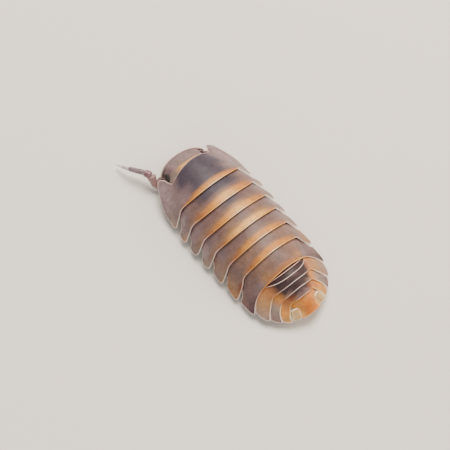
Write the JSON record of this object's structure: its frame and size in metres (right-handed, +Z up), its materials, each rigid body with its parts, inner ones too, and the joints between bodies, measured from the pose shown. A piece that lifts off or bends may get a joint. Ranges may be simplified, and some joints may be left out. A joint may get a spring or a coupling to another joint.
{
  "type": "woodlouse",
  "caption": "Life-size rolling woodlouse standing on its legs, domed banded back plates with side flaps, one feeler held forward, waisted tail shield.",
  "frame": {"origin": "on the floor under the middle of the animal's box, which runs from the tip of the forward feeler to the tail shield", "axes": "head towards -Y, tail towards +Y, back up along +Z, the animal's left side towards +X"},
  "size_m": [0.0083, 0.0196, 0.0039],
  "materials": {
    "back_shell": "smooth cuticle, lilac grey-brown with gold bands and pale hind rims, soft sheen",
    "head_shell": "smooth cuticle, lilac grey with a pale front rim and a cream-gold hind band",
    "tail_shell": "smooth cuticle, dark purple-brown centre, tan and orange sides, pale rims",
    "uropod": "greenish-cream cuticle with fine lengthwise grooves",
    "feeler": "pinkish jointed cuticle, whitish at the end",
    "eye": "black glossy bead-like facets",
    "leg": "pale translucent cuticle, darker at the joints",
    "mouth": "pale tan cuticle",
    "gill": "thin whitish plates"
  },
  "bodies": {
    "root": {"head": "head_shell", "eye_left": "eye", "eye_right": "eye", "antenna_left": "feeler", "antenna_right": "feeler", "mouthparts": "mouth", "pereonite_1": "back_shell", "pereonite_2": "back_shell", "pereonite_3": "back_shell", "pereonite_4": "back_shell", "pereonite_5": "back_shell", "pereonite_6": "back_shell", "pereonite_7": "back_shell", "pleonite_1": "tail_shell", "pleonite_2": "tail_shell", "pleonite_3": "tail_shell", "pleonite_4": "tail_shell", "pleonite_5": "tail_shell", "telson": "tail_shell", "uropod_left": "uropod", "uropod_right": "uropod", "leg_left_1": "leg", "leg_left_2": "leg", "leg_left_3": "leg", "leg_left_4": "leg", "leg_left_5": "leg", "leg_left_6": "leg", "leg_left_7": "leg", "leg_right_1": "leg", "leg_right_2": "leg", "leg_right_3": "leg", "leg_right_4": "leg", "leg_right_5": "leg", "leg_right_6": "leg", "leg_right_7": "leg", "pleopods_1": "gill", "pleopods_2": "gill", "pleopods_3": "gill", "pleopods_4": "gill", "pleopods_5": "gill"}
  },
  "joints": []
}
